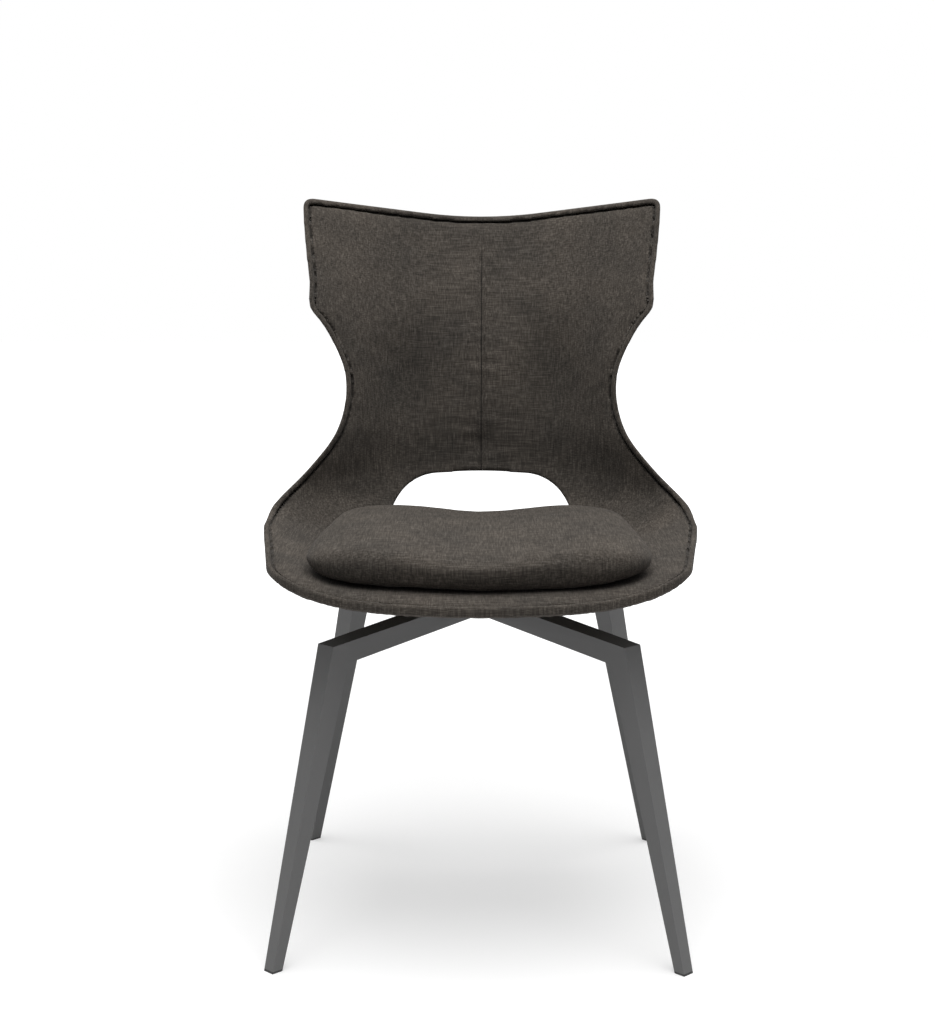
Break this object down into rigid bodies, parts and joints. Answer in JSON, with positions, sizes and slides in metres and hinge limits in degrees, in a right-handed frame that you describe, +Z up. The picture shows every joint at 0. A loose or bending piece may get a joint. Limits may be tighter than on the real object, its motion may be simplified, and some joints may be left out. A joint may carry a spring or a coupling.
{
  "type": "swivel dining chair",
  "caption": "Dining chair with a flared upholstered shell back, an arched opening above a loose crowned seat cushion, and a swivel seat on tapered angled box-tube legs.",
  "frame": {"origin": "on the floor, on the swivel axis, in the middle between the four feet", "axes": "+Z up along the swivel axis, +Y to the back of the chair, +X to the sitter's left"},
  "size_m": [0.537, 0.5524, 0.8815],
  "materials": {
    "frame_paint": "satin dark grey powder coat",
    "glide_plastic": "matte",
    "race_steel": "satin",
    "bush_plastic": "matte",
    "pin_steel": "zinc plated",
    "plate_steel": "satin black",
    "shell_board": "raw moulded plywood",
    "plywood": "raw plywood",
    "cover_fabric": "dark taupe woven linen look",
    "cushion_fabric": "dark taupe woven linen look",
    "strip_fabric": "hook and loop tape"
  },
  "bodies": {
    "base": {"arm_front_left": "frame_paint", "arm_front_right": "frame_paint", "arm_rear_left": "frame_paint", "arm_rear_right": "frame_paint", "leg_front_left": "frame_paint", "leg_front_right": "frame_paint", "leg_rear_left": "frame_paint", "leg_rear_right": "frame_paint", "glide_front_left": "glide_plastic", "glide_front_right": "glide_plastic", "glide_rear_left": "glide_plastic", "glide_rear_right": "glide_plastic", "hub": "frame_paint", "hub_cap": "glide_plastic", "base_plate": "frame_paint", "lower_race": "race_steel", "upper_bush": "bush_plastic", "lower_bush": "bush_plastic"},
    "bearing": {"ball_cage": "bush_plastic", "bearing_balls": "race_steel"},
    "seat": {"upper_race": "race_steel", "kingpin": "pin_steel", "thrust_washer": "pin_steel", "lock_nut": "pin_steel", "top_plate": "plate_steel", "plate_screws": "pin_steel", "t_nuts": "pin_steel", "seat_shell": "shell_board", "front_cover": "cover_fabric", "rear_cover": "cover_fabric", "seat_cushion": "cushion_fabric", "cushion_board": "plywood", "fastener_strips": "strip_fabric"}
  },
  "joints": [
    {"name": "seat_swivel", "type": "hinge", "parent": "base", "child": "seat", "pos_m": [0, 0, 0.4], "axis": [0, 0, 1], "continuous": true},
    {"name": "bearing_roll", "type": "hinge", "parent": "base", "child": "bearing", "pos_m": [0, 0, 0.4], "axis": [0, 0, 1], "continuous": true}
  ],
  "couplings": [
    {"joint": "bearing_roll", "follows": "seat_swivel", "ratio": 0.5}
  ]
}
